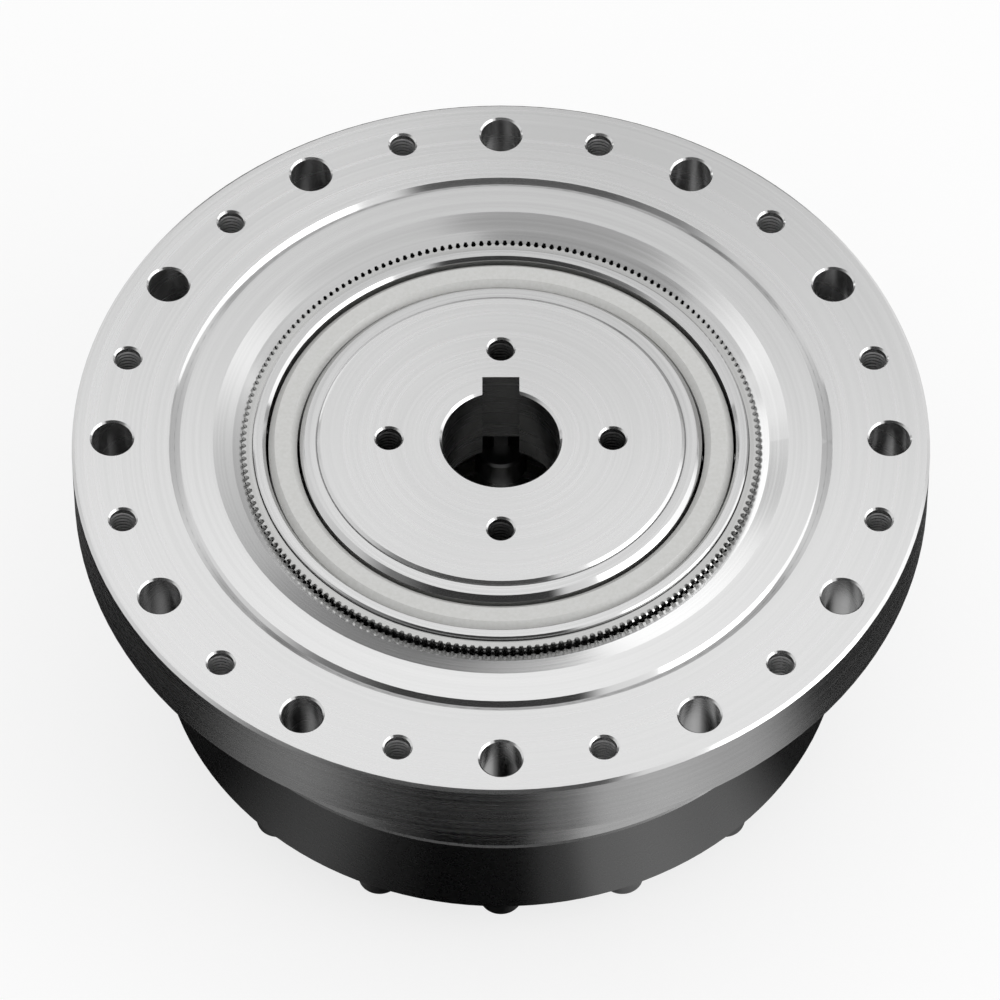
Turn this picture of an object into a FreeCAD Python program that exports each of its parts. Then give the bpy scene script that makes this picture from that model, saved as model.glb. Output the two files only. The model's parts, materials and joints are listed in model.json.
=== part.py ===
import FreeCAD, Part
import math
import os

# Strain wave gear unit of the cup type, with a crossed roller bearing on its output.
# The axis is Z and the origin is the centre of the input face of the flange.
# +Z leaves the input side, so depths below that face are negative. Sizes are in millimetres.
# Radii are worked out from the tooth pair, inwards to the bore and outwards to the flange.

# Tooth pair: the flexspline has two teeth fewer than the circular spline
MODULE = 0.41
FLEX_TEETH = 200
TOOTH_DIFFERENCE = 2
FLEX_ADDENDUM = 0.25
FLEX_DEDENDUM = 0.30
RIGID_ADDENDUM = 0.21
RIGID_DEDENDUM = 0.34
TOOTH_SHARE = 0.46
FLANK_ANGLE = 25.0

# Flexspline cup
FLEX_SET_BACK = 1.2
FLEX_TOOTH_WIDTH = 14.3
FLEX_LENGTH = 34.0
FLEX_RIM_T = 1.2
FLEX_WALL_T = 0.75
FLEX_FLOOR_T = 0.9
FLEX_CORNER_R = 4.0
FLEX_STRAIGHT = 0.7
BOSS_BORE_D = 22.0
BOSS_T = 4.4
BOSS_STEP = 1.8
BOSS_EDGE = 5.5
BOSS_SHOULDER = 1.5

# Clamping of the flexspline boss on the output flange
BOSS_SCREWS = 8
BOSS_SCREW_INSET = 5.0
BOSS_TAP_DEPTH = 10.0
BOSS_SCREW_GRIP = 8.6
CLAMP_T = 4.0
CLAMP_EDGE = 4.8
DOWELS = 2
DOWEL_D = 3.0
DOWEL_DEPTH = 6.0

# Wave generator: plug, keyed hub and flexible ball bearing
PLUG_H = 16.0
PLUG_CHAMFER = 0.45
PLUG_LIP_H = 1.5
PLUG_LIP = 1.3
HUB_BORE_D = 19.0
HUB_CHAMFER = 0.4
KEYWAY_W = 6.0
KEYWAY_DEPTH = 2.8
HUB_TAPS = 4
HUB_TAP_OFFSET = 5.7
M5_TAP_D = 4.2
RACE_SET_BACK = 0.5
RACE_SEAT_CHAMFER = 0.25
INNER_RACE_GAP_CHAMFER = 0.8
OUTER_RACE_GAP_CHAMFER = 0.5
OUTER_RACE_T = 2.0
INNER_RACE_T = 2.8
BALLS = 23
BALL_D = 7.4
BALL_GROOVE_DEPTH = 0.95
BALL_CLEARANCE = 0.05
BALL_CAGE_T = 4.6
BALL_CAGE_SET_BACK = 0.8
BALL_CAGE_PRONG = 2.0
BALL_CAGE_CHAMFER = 1.0
POCKET_CLEARANCE = 0.25

# Circular spline ring
SPLINE_H = 17.0
SPLINE_SLOPE_DEPTH = 1.0
SPLINE_SLOPE = 3.1
SPLINE_LEAD = 1.45
SPLINE_LEAD_ANGLE = 30.0
SPLINE_SCREWS = 8
SPLINE_SCREW_EDGE = 4.5
SPLINE_TAP_DEPTH = 8.0
SPLINE_SCREW_LENGTH = 12.0
SEAM_CHAMFER = 0.9

# Flange housing
BORE_CLEARANCE = 2.25
COUNTERBORE_WEB = 1.0
SHOULDER_SEAT = 5.0
HOUSING_WALL = 4.0
JOINT_ABOVE_FLOOR = 1.1
FLANGE_T = 12.0
FLANGE_HOLES = 12
FLANGE_HOLE_D = 6.6
FLANGE_HOLE_OFFSET = 6.0
FLANGE_EDGE = 6.5
FLANGE_CHAMFER = 0.5
PILOT_CHAMFER = 0.8

# Output bearing: two outer rings, crossed rollers and their cage
RING_UPPER_H = 7.9
RING_LOWER_H = 9.7
RING_RELIEF = 0.3
RING_CHAMFER = 0.4
RING_SCREWS = 16
RING_SCREW_INSET = 5.0
RING_SCREW_FIRST = -90.0
RING_SCREW_REACH = 9.0
RING_TAP_DEPTH = 10.0
RING_WEB = 2.05
SPIGOT_T = 2.9
SPIGOT_H = 3.0
SPIGOT_ROOF = 1.2
O_RING_GROOVE_W = 1.8
O_RING_GROOVE_DEPTH = 1.4
ROLLERS = 36
ROLLER_D = 5.0
ROLLER_CLEARANCE = 0.03
ROLLER_END_CLEARANCE = 0.13
RACEWAY_GAP = 1.2
RACEWAY_RELIEF = 0.3
ROLLER_CAGE_T = 0.6
ROLLER_CAGE_H = 8.4
WINDOW_H = 7.2
WINDOW_CLEARANCE = 0.25

# Output flange, which is the inner ring of the bearing
OUTPUT_LIP = 1.4
OUTPUT_PROUD = 10.3
OUTPUT_DISH = 1.6
OUTPUT_RIM_T = 3.0
OUTPUT_TAPS = 8
OUTPUT_TAP_D = 6.8
OUTPUT_TAP_DEPTH = 15.0
OUTPUT_TAP_OFFSET = 16.0
OUTPUT_PILOT_D = 36.0
OUTPUT_PILOT_DEPTH = 4.0
OUTPUT_CHAMFER = 0.8
OUTPUT_SPIGOT_H = 3.5

# Oil seal on the output side
SEAL_H = 4.5
SEAL_SECTION = 4.6
SEAL_LAND_STEP = 0.6
SEAL_LIP_CLEARANCE = 0.05
SEAL_CASE_T = 1.3
SEAL_LIP_T = 1.65
SEAL_LIP_H = 3.4
SPRING_WIRE_D = 1.1

# Socket head screws: shank, head and key sizes of the three threads
M5_D = 5.0
M5_HEAD_D = 8.5
M5_HEAD_H = 5.0
M5_SOCKET = 4.0
M4_D = 4.0
M4_HEAD_D = 7.0
M4_HEAD_H = 4.0
M4_SOCKET = 3.0
M3_D = 3.0
M3_HEAD_D = 5.5
M3_HEAD_H = 3.0
M3_SOCKET = 2.5
SOCKET_SHARE = 0.5
SCREW_CHAMFER = 0.4
COUNTERBORE_CLEARANCE = 0.25
EDGE_BREAK = 0.3

# Fits: assembled pieces, turning pieces and screws in plain holes
SEAT_CLEARANCE = 0.02
RUNNING_CLEARANCE = 0.05
THREAD_CLEARANCE = 0.05
SCREW_HOLE_CLEARANCE = 0.25

# Radii of the tooth pair
flex_pitch_r = MODULE * FLEX_TEETH / 2
rigid_teeth = FLEX_TEETH + TOOTH_DIFFERENCE
rigid_pitch_r = MODULE * rigid_teeth / 2
wave = rigid_pitch_r - flex_pitch_r
flex_tip_r = flex_pitch_r + FLEX_ADDENDUM
flex_root_r = flex_pitch_r - FLEX_DEDENDUM
flex_inner_r = flex_root_r - FLEX_RIM_T
flex_wall_r = flex_inner_r + FLEX_WALL_T
rigid_tip_r = rigid_pitch_r - RIGID_ADDENDUM
rigid_root_r = rigid_pitch_r + RIGID_DEDENDUM

# Radii of the wave bearing, inwards to the plug
outer_race_r = flex_inner_r - RUNNING_CLEARANCE
outer_race_inner_r = outer_race_r - OUTER_RACE_T
ball_pitch_r = outer_race_inner_r + BALL_GROOVE_DEPTH - BALL_D / 2
inner_race_r = ball_pitch_r - BALL_D / 2 + BALL_GROOVE_DEPTH
plug_r = inner_race_r - INNER_RACE_T
hub_bore_r = HUB_BORE_D / 2
hub_tap_circle_r = hub_bore_r + KEYWAY_DEPTH + HUB_TAP_OFFSET

# Radii of the circular spline and the housing, outwards to the flange
spline_counterbore_r = M3_HEAD_D / 2 + COUNTERBORE_CLEARANCE
housing_bore_r = rigid_root_r + BORE_CLEARANCE
spline_screw_r = housing_bore_r + COUNTERBORE_WEB + spline_counterbore_r
spline_r = spline_screw_r + SPLINE_SCREW_EDGE
pilot_r = spline_r + HOUSING_WALL
flange_circle_r = pilot_r + FLANGE_HOLE_OFFSET
flange_r = flange_circle_r + FLANGE_EDGE

# Radii of the output bearing
ring_r = pilot_r - RING_RELIEF
ring_screw_r = pilot_r - RING_SCREW_INSET
raceway_depth = math.sqrt(2) * (ROLLER_D / 2 + ROLLER_CLEARANCE)
roller_pitch_r = ring_screw_r - M4_D / 2 - SCREW_HOLE_CLEARANCE - RING_WEB - raceway_depth
outer_land_r = roller_pitch_r + RACEWAY_GAP / 2
inner_land_r = roller_pitch_r - RACEWAY_GAP / 2
spigot_r = housing_bore_r - SEAT_CLEARANCE
spigot_inner_r = spigot_r - SPIGOT_T
raceway_half_h = raceway_depth - RACEWAY_GAP / 2
seal_land_r = inner_land_r - SEAL_LAND_STEP
seal_bore_r = seal_land_r + SEAL_SECTION
seal_lip_back_r = seal_land_r + SEAL_LIP_T

# Radii of the boss joint
boss_bore_r = BOSS_BORE_D / 2
boss_screw_r = boss_bore_r + BOSS_SCREW_INSET
boss_r = boss_screw_r + BOSS_EDGE
clamp_r = boss_screw_r + CLAMP_EDGE
output_tap_circle_r = boss_screw_r + OUTPUT_TAP_OFFSET

# Heights, all measured down from the input face
flex_top_z = -FLEX_SET_BACK
flex_tooth_end_z = flex_top_z - FLEX_TOOTH_WIDTH
flex_floor_z = flex_top_z - FLEX_LENGTH
flex_corner_z = flex_floor_z + FLEX_CORNER_R
boss_seat_z = flex_floor_z - BOSS_STEP
boss_top_z = boss_seat_z + BOSS_T
clamp_top_z = boss_top_z + CLAMP_T
spline_seat_z = -SPLINE_H
housing_end_z = flex_floor_z + JOINT_ABOVE_FLOOR
spline_head_z = spline_seat_z - SHOULDER_SEAT
roller_z = housing_end_z - RING_UPPER_H
ring_end_z = roller_z - RING_LOWER_H
seal_top_z = ring_end_z + SEAL_H
output_rim_z = roller_z + raceway_half_h + OUTPUT_LIP
output_dish_z = boss_seat_z - OUTPUT_DISH
output_end_z = ring_end_z - OUTPUT_PROUD
race_top_z = -RACE_SET_BACK
race_end_z = -PLUG_H + PLUG_LIP_H
ball_z = (race_top_z + race_end_z) / 2

# Angles of the first screw or pin of a group, in degrees from +X
spline_screw_first = RING_SCREW_FIRST + 180.0 / RING_SCREWS
dowel_first = 180.0 / BOSS_SCREWS

Z_AXIS = FreeCAD.Vector(0, 0, 1)
X_AXIS = FreeCAD.Vector(1, 0, 0)
CENTRE = FreeCAD.Vector(0, 0, 0)
OVERSHOOT = 1.0
TOLERANCE = 0.001


def cylinder(radius, low, high, x=0.0, y=0.0):
    """A plain cylinder along Z between two heights."""
    return Part.makeCylinder(radius, high - low, FreeCAD.Vector(x, y, low), Z_AXIS)


def on_circle(count, radius, first=0.0):
    """Points spread evenly on a circle, the first one at an angle in degrees."""
    angles = [math.radians(first + 360.0 * i / count) for i in range(count)]
    return [(radius * math.cos(a), radius * math.sin(a)) for a in angles]


def holes(count, circle_r, hole_r, low, high, first=0.0):
    """Cylinders on a bolt circle, to be cut from a piece."""
    return [cylinder(hole_r, low, high, x, y) for x, y in on_circle(count, circle_r, first)]


def broken_edges(count, circle_r, hole_r, face_z, inward, first=0.0):
    """Small cones that break the edges of a circle of holes in one face.

    inward is 1 where the piece lies above the face and -1 where it lies below.
    """
    axis = FreeCAD.Vector(0, 0, inward)
    wide_r = hole_r + EDGE_BREAK
    places = [FreeCAD.Vector(x, y, face_z) for x, y in on_circle(count, circle_r, first)]
    return [Part.makeCone(wide_r, hole_r, EDGE_BREAK, place, axis) for place in places]


def turned(points):
    """A ring or disc turned from a closed outline of (radius, height) points."""
    corners = [FreeCAD.Vector(r, 0, z) for r, z in points]
    outline = Part.makePolygon(corners + corners[:1])
    return Part.Face(outline).revolve(CENTRE, Z_AXIS, 360)


def oval_edge(radius, height):
    """The wave generator's oval: an ellipse, longer along X and shorter along Y by the wave."""
    return Part.Ellipse(FreeCAD.Vector(0, 0, height), radius + wave, radius - wave).toShape()


def oval_disc(radius, low, high):
    """A solid with straight walls over the oval of a given mean radius."""
    face = Part.Face(Part.Wire(oval_edge(radius, low)))
    return face.extrude(FreeCAD.Vector(0, 0, high - low))


def prism(points, height):
    """A flat outline of points in one plane, raised along Z."""
    return Part.Face(Part.makePolygon(points + points[:1])).extrude(FreeCAD.Vector(0, 0, height))


def edges_at(shape, height):
    """The edges of a solid that lie in one horizontal plane."""
    flat = [e for e in shape.Edges if e.BoundBox.ZLength < TOLERANCE]
    return [e for e in flat if abs(e.BoundBox.ZMin - height) < TOLERANCE]


def socket_screw(shank_d, head_d, head_h, socket, length):
    """A socket head screw with its head below the origin and its shank up along Z."""
    head_r, shank_r = head_d / 2, shank_d / 2
    body = turned([
        (0, -head_h),
        (head_r - SCREW_CHAMFER, -head_h),
        (head_r, -head_h + SCREW_CHAMFER),
        (head_r, 0),
        (shank_r, 0),
        (shank_r, length - SCREW_CHAMFER),
        (shank_r - SCREW_CHAMFER, length),
        (0, length),
    ])
    corner_r = socket / math.sqrt(3)
    corners = [FreeCAD.Vector(x, y, -head_h) for x, y in on_circle(6, corner_r)]
    return body.cut(prism(corners, head_h * SOCKET_SHARE))


def screw_group(screw, count, circle_r, height, first=0.0):
    """Copies of one screw on a bolt circle, as separate solids."""
    group = []
    for x, y in on_circle(count, circle_r, first):
        copy = screw.copy()
        copy.translate(FreeCAD.Vector(x, y, height))
        group.append(copy)
    return Part.makeCompound(group)


def tooth_outline(teeth, pitch_r, root_r, tip_r, middle):
    """Corners of straight-sided teeth as (radius, angle) pairs. Angles are in radians.

    middle is the angle of the middle of the first tooth. A tooth is thinner at its tip than at its root.
    """
    pitch_angle = 2 * math.pi / teeth
    half_at_pitch = pitch_angle * pitch_r * TOOTH_SHARE / 2
    slope = math.tan(math.radians(FLANK_ANGLE))
    half_root = (half_at_pitch + abs(pitch_r - root_r) * slope) / root_r
    half_tip = (half_at_pitch - abs(tip_r - pitch_r) * slope) / tip_r
    corners = []
    for i in range(teeth):
        a = middle + i * pitch_angle
        corners += [(root_r, a - half_root), (tip_r, a - half_tip)]
        corners += [(tip_r, a + half_tip), (root_r, a + half_root)]
    return corners


def on_wave(radius, angle, height):
    """Where a point of the round flexspline goes when the wave generator bends it oval.

    The wall moves in and out by the wave, slides along itself so that its length stays the same, and tilts.
    """
    out = wave * math.cos(2 * angle)
    slide = -wave / 2 * math.sin(2 * angle)
    tilt = (slide + 2 * wave * math.sin(2 * angle)) / flex_inner_r
    along = slide + (radius - flex_inner_r) * tilt
    r, t = radius + out, angle + along / radius
    return FreeCAD.Vector(r * math.cos(t), r * math.sin(t), height)


def make_flange_housing():
    outline = [
        (spline_r + SEAT_CLEARANCE + SEAM_CHAMFER, 0),
        (flange_r - FLANGE_CHAMFER, 0),
        (flange_r, -FLANGE_CHAMFER),
        (flange_r, -FLANGE_T + FLANGE_CHAMFER),
        (flange_r - FLANGE_CHAMFER, -FLANGE_T),
        (pilot_r, -FLANGE_T),
        (pilot_r, housing_end_z + PILOT_CHAMFER),
        (pilot_r - PILOT_CHAMFER, housing_end_z),
        (housing_bore_r, housing_end_z),
        (housing_bore_r, spline_seat_z),
        (spline_r + SEAT_CLEARANCE, spline_seat_z),
        (spline_r + SEAT_CLEARANCE, -SEAM_CHAMFER),
    ]
    low, high = -FLANGE_T - OVERSHOOT, OVERSHOOT
    half_step = 180.0 / FLANGE_HOLES
    cuts = []
    for hole_r, first in ((FLANGE_HOLE_D / 2, 0.0), (M5_TAP_D / 2, half_step)):
        cuts += holes(FLANGE_HOLES, flange_circle_r, hole_r, low, high, first)
        cuts += broken_edges(FLANGE_HOLES, flange_circle_r, hole_r, 0, -1, first)
        cuts += broken_edges(FLANGE_HOLES, flange_circle_r, hole_r, -FLANGE_T, 1, first)
    below = housing_end_z - OVERSHOOT
    ring_tap_r = M4_D / 2 + THREAD_CLEARANCE
    ring_tap_top = housing_end_z + RING_TAP_DEPTH
    cuts += holes(RING_SCREWS, ring_screw_r, ring_tap_r, below, ring_tap_top, RING_SCREW_FIRST)
    plain_r = M3_D / 2 + SCREW_HOLE_CLEARANCE
    through = spline_seat_z + OVERSHOOT
    first = spline_screw_first
    cuts += holes(SPLINE_SCREWS, spline_screw_r, plain_r, below, through, first)
    cuts += holes(SPLINE_SCREWS, spline_screw_r, spline_counterbore_r, below, spline_head_z, first)
    return turned(outline).cut(cuts)


def make_circular_spline():
    slope_z = -SPLINE_SLOPE_DEPTH
    lead_r = rigid_root_r + SPLINE_LEAD
    blank_r = rigid_tip_r - OVERSHOOT
    lead_end_z = slope_z - (lead_r - blank_r) * math.tan(math.radians(SPLINE_LEAD_ANGLE))
    blank = turned([
        (lead_r + SPLINE_SLOPE, 0),
        (spline_r - SEAM_CHAMFER, 0),
        (spline_r, -SEAM_CHAMFER),
        (spline_r, spline_seat_z),
        (blank_r, spline_seat_z),
        (blank_r, lead_end_z),
        (lead_r, slope_z),
    ])
    # a gap between two teeth lies on +X, where the oval presses a flexspline tooth into it
    first_tooth = math.pi / rigid_teeth
    corners = tooth_outline(rigid_teeth, rigid_pitch_r, rigid_root_r, rigid_tip_r, first_tooth)
    low = spline_seat_z - OVERSHOOT
    points = [FreeCAD.Vector(r * math.cos(a), r * math.sin(a), low) for r, a in corners]
    ring = blank.cut(prism(points, OVERSHOOT - low))
    tap_r = M3_D / 2 + THREAD_CLEARANCE
    tap_top = spline_seat_z + SPLINE_TAP_DEPTH
    return ring.cut(holes(SPLINE_SCREWS, spline_screw_r, tap_r, low, tap_top, spline_screw_first))


def make_spline_screws():
    screw = socket_screw(M3_D, M3_HEAD_D, M3_HEAD_H, M3_SOCKET, SPLINE_SCREW_LENGTH)
    return screw_group(screw, SPLINE_SCREWS, spline_screw_r, spline_head_z, spline_screw_first)


def make_flexspline():
    # toothed rim, bent oval by the wave generator
    corners = tooth_outline(FLEX_TEETH, flex_pitch_r, flex_root_r, flex_tip_r, 0.0)
    points = [on_wave(r, a, flex_tooth_end_z) for r, a in corners]
    opening = oval_disc(flex_inner_r, flex_tooth_end_z - OVERSHOOT, flex_top_z + OVERSHOOT)
    rim = prism(points, FLEX_TOOTH_WIDTH).cut(opening)
    # thin wall, oval under the teeth and round where it meets the floor
    round_z = flex_corner_z + FLEX_STRAIGHT
    shells = []
    for radius in (flex_wall_r, flex_inner_r):
        top = Part.Wire(oval_edge(radius, flex_tooth_end_z))
        foot = Part.Wire(Part.Circle(FreeCAD.Vector(0, 0, round_z), Z_AXIS, radius).toShape())
        shells.append(Part.makeLoft([foot, top], True, True))
    wall = shells[0].cut(shells[1])
    # floor and boss, turned
    inner_corner_r = FLEX_CORNER_R - FLEX_FLOOR_T
    floor_top_z = flex_floor_z + FLEX_FLOOR_T
    half = math.sqrt(0.5)
    outer_mid = (flex_wall_r - FLEX_CORNER_R * (1 - half), flex_corner_z - FLEX_CORNER_R * half)
    inner_mid = (flex_inner_r - inner_corner_r * (1 - half), flex_corner_z - inner_corner_r * half)

    def at(r, z):
        return FreeCAD.Vector(r, 0, z)

    outer_arc = Part.Arc(
        at(flex_wall_r, flex_corner_z), at(*outer_mid), at(flex_wall_r - FLEX_CORNER_R, flex_floor_z)
    ).toShape()
    inner_arc = Part.Arc(
        at(flex_inner_r - inner_corner_r, floor_top_z), at(*inner_mid), at(flex_inner_r, flex_corner_z)
    ).toShape()
    low_side = Part.makePolygon([
        at(flex_wall_r - FLEX_CORNER_R, flex_floor_z),
        at(boss_r, flex_floor_z),
        at(boss_r, boss_seat_z),
        at(boss_bore_r, boss_seat_z),
        at(boss_bore_r, boss_top_z),
        at(boss_r - BOSS_SHOULDER, boss_top_z),
        at(boss_r, floor_top_z),
        at(flex_inner_r - inner_corner_r, floor_top_z),
    ])
    top_side = Part.makePolygon([
        at(flex_inner_r, flex_corner_z),
        at(flex_inner_r, round_z),
        at(flex_wall_r, round_z),
        at(flex_wall_r, flex_corner_z),
    ])
    section = Part.Wire([outer_arc] + low_side.Edges + [inner_arc] + top_side.Edges)
    floor = Part.Face(section).revolve(CENTRE, Z_AXIS, 360)
    cup = rim.fuse([wall, floor]).removeSplitter()
    return cup.cut(boss_joint_holes(boss_seat_z - OVERSHOOT, boss_top_z + OVERSHOOT))


def boss_joint_holes(low, high):
    """Plain holes for the boss screws and close holes for the dowel pins."""
    screw_hole_r = M5_D / 2 + SCREW_HOLE_CLEARANCE
    dowel_hole_r = DOWEL_D / 2 + SEAT_CLEARANCE
    cuts = holes(BOSS_SCREWS, boss_screw_r, screw_hole_r, low, high)
    return cuts + holes(DOWELS, boss_screw_r, dowel_hole_r, low, high, dowel_first)


def make_flexspline_clamp_ring():
    ring = cylinder(clamp_r, boss_top_z, clamp_top_z).cut(
        cylinder(boss_bore_r, boss_top_z - OVERSHOOT, clamp_top_z + OVERSHOOT)
    )
    return ring.cut(boss_joint_holes(boss_top_z - OVERSHOOT, clamp_top_z + OVERSHOOT))


def make_flexspline_screws():
    length = CLAMP_T + BOSS_T + BOSS_SCREW_GRIP
    screw = socket_screw(M5_D, M5_HEAD_D, M5_HEAD_H, M5_SOCKET, length)
    screw.rotate(CENTRE, X_AXIS, 180)
    return screw_group(screw, BOSS_SCREWS, boss_screw_r, clamp_top_z)


def make_flexspline_dowel_pins():
    low = boss_seat_z - DOWEL_DEPTH
    pins = holes(DOWELS, boss_screw_r, DOWEL_D / 2, low, clamp_top_z, dowel_first)
    return Part.makeCompound(pins)


def make_wave_generator_plug():
    body = oval_disc(plug_r, -PLUG_H, 0)
    body = body.makeChamfer(PLUG_CHAMFER, edges_at(body, 0))
    lip = oval_disc(plug_r + PLUG_LIP, -PLUG_H, race_end_z)
    low, high = -PLUG_H - OVERSHOOT, OVERSHOOT
    key_half = KEYWAY_W / 2
    key_top = hub_bore_r + KEYWAY_DEPTH
    keyway = Part.makeBox(KEYWAY_W, key_top, high - low, FreeCAD.Vector(-key_half, 0, low))
    mouth_low = FreeCAD.Vector(0, 0, -HUB_CHAMFER)
    mouth = Part.makeCone(hub_bore_r, hub_bore_r + HUB_CHAMFER, HUB_CHAMFER, mouth_low)
    cuts = [cylinder(hub_bore_r, low, high), keyway, mouth]
    cuts += holes(HUB_TAPS, hub_tap_circle_r, M5_TAP_D / 2, low, high)
    cuts += broken_edges(HUB_TAPS, hub_tap_circle_r, M5_TAP_D / 2, 0, -1)
    return body.fuse(lip).removeSplitter().cut(cuts)


def ball_track():
    """The space swept by a slightly large ball that runs round the oval."""
    path = Part.Wire(oval_edge(ball_pitch_r, ball_z))
    start = FreeCAD.Vector(ball_pitch_r + wave, 0, ball_z)
    section = Part.Wire(Part.makeCircle(BALL_D / 2 + BALL_CLEARANCE, start, FreeCAD.Vector(0, 1, 0)))
    return path.makePipeShell([section], True, True)


def make_wave_race(outer_r, inner_r, outer_chamfer, inner_chamfer):
    """One flexible race: an oval ring with the edges of its front face eased, and the ball groove."""
    ring = oval_disc(outer_r, race_end_z, race_top_z)
    ring = ring.makeChamfer(outer_chamfer, edges_at(ring, race_top_z))
    ring = ring.cut(oval_disc(inner_r, race_end_z - OVERSHOOT, race_top_z + OVERSHOOT))
    bore_edges = [e for e in edges_at(ring, race_top_z) if e.BoundBox.XMax < inner_r + wave + TOLERANCE]
    ring = ring.makeChamfer(inner_chamfer, bore_edges)
    return ring.cut(ball_track())


def make_wave_bearing_inner_race():
    return make_wave_race(inner_race_r, plug_r, INNER_RACE_GAP_CHAMFER, RACE_SEAT_CHAMFER)


def make_wave_bearing_outer_race():
    return make_wave_race(outer_race_r, outer_race_inner_r, RACE_SEAT_CHAMFER, OUTER_RACE_GAP_CHAMFER)


def ball_centres():
    """Ball places on the oval track."""
    a, b = ball_pitch_r + wave, ball_pitch_r - wave
    turns = [2 * math.pi * i / BALLS for i in range(BALLS)]
    return [FreeCAD.Vector(a * math.cos(t), b * math.sin(t), ball_z) for t in turns]


def make_wave_bearing_balls():
    return Part.makeCompound([Part.makeSphere(BALL_D / 2, c) for c in ball_centres()])


def make_wave_bearing_cage():
    low, high = ball_z - BALL_CAGE_PRONG, -BALL_CAGE_SET_BACK
    ring = oval_disc(ball_pitch_r + BALL_CAGE_T / 2, low, high)
    ring = ring.cut(oval_disc(ball_pitch_r - BALL_CAGE_T / 2, low - OVERSHOOT, high + OVERSHOOT))
    ring = ring.makeChamfer(BALL_CAGE_CHAMFER, edges_at(ring, high))
    pocket_r = BALL_D / 2 + POCKET_CLEARANCE
    return ring.cut([Part.makeSphere(pocket_r, c) for c in ball_centres()])


def ring_screw_holes():
    """Plain holes through both outer rings of the output bearing."""
    low, high = ring_end_z - OVERSHOOT, housing_end_z + SPIGOT_H
    hole_r = M4_D / 2 + SCREW_HOLE_CLEARANCE
    return holes(RING_SCREWS, ring_screw_r, hole_r, low, high, RING_SCREW_FIRST)


def make_bearing_ring_upper():
    groove_top = housing_end_z + (SPIGOT_H + O_RING_GROOVE_W) / 2
    groove_low = groove_top - O_RING_GROOVE_W
    groove_r = spigot_r - O_RING_GROOVE_DEPTH
    apex_r = roller_pitch_r + raceway_depth
    roof_z = housing_end_z - SPIGOT_ROOF
    ring = turned([
        (spigot_inner_r, housing_end_z + SPIGOT_H),
        (spigot_r, housing_end_z + SPIGOT_H),
        (spigot_r, groove_top),
        (groove_r, groove_top),
        (groove_r, groove_low),
        (spigot_r, groove_low),
        (spigot_r, housing_end_z),
        (ring_r - RING_CHAMFER, housing_end_z),
        (ring_r, housing_end_z - RING_CHAMFER),
        (ring_r, roller_z),
        (apex_r, roller_z),
        (apex_r, roller_z + RACEWAY_RELIEF),
        (apex_r - RACEWAY_RELIEF, roller_z + RACEWAY_RELIEF),
        (outer_land_r, roller_z + raceway_half_h),
        (outer_land_r, roof_z),
        (spigot_inner_r, roof_z),
    ])
    return ring.cut(ring_screw_holes())


def make_bearing_ring_lower():
    apex_r = roller_pitch_r + raceway_depth
    seat_r = seal_bore_r + SEAT_CLEARANCE
    ring = turned([
        (apex_r, roller_z),
        (ring_r, roller_z),
        (ring_r, ring_end_z + RING_CHAMFER),
        (ring_r - RING_CHAMFER, ring_end_z),
        (seat_r, ring_end_z),
        (seat_r, seal_top_z),
        (outer_land_r, seal_top_z),
        (outer_land_r, roller_z - raceway_half_h),
        (apex_r - RACEWAY_RELIEF, roller_z - RACEWAY_RELIEF),
        (apex_r, roller_z - RACEWAY_RELIEF),
    ])
    return ring.cut(ring_screw_holes())


def make_bearing_screws():
    length = RING_UPPER_H + RING_LOWER_H + RING_SCREW_REACH
    screw = socket_screw(M4_D, M4_HEAD_D, M4_HEAD_H, M4_SOCKET, length)
    return screw_group(screw, RING_SCREWS, ring_screw_r, ring_end_z, RING_SCREW_FIRST)


def make_cross_rollers():
    """Rollers of square section, tilted by turns to one side and the other by 45 degrees."""
    length = 2 * (ROLLER_D / 2 + ROLLER_CLEARANCE - ROLLER_END_CLEARANCE)
    rollers = []
    for i in range(ROLLERS):
        tilt = 45 if i % 2 else -45
        roller = cylinder(ROLLER_D / 2, -length / 2, length / 2)
        roller.rotate(CENTRE, FreeCAD.Vector(0, 1, 0), tilt)
        roller.translate(FreeCAD.Vector(roller_pitch_r, 0, roller_z))
        roller.rotate(CENTRE, Z_AXIS, 360.0 * i / ROLLERS)
        rollers.append(roller)
    return Part.makeCompound(rollers)


def make_roller_cage():
    low, high = roller_z - ROLLER_CAGE_H / 2, roller_z + ROLLER_CAGE_H / 2
    outer_r, inner_r = roller_pitch_r + ROLLER_CAGE_T / 2, roller_pitch_r - ROLLER_CAGE_T / 2
    ring = cylinder(outer_r, low, high).cut(cylinder(inner_r, low - OVERSHOOT, high + OVERSHOOT))
    width = ROLLER_D + 2 * WINDOW_CLEARANCE
    windows = []
    for i in range(ROLLERS):
        corner = FreeCAD.Vector(inner_r - OVERSHOOT, -width / 2, roller_z - WINDOW_H / 2)
        window = Part.makeBox(ROLLER_CAGE_T + 2 * OVERSHOOT, width, WINDOW_H, corner)
        window.rotate(CENTRE, Z_AXIS, 360.0 * i / ROLLERS)
        windows.append(window)
    return ring.cut(windows)


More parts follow.
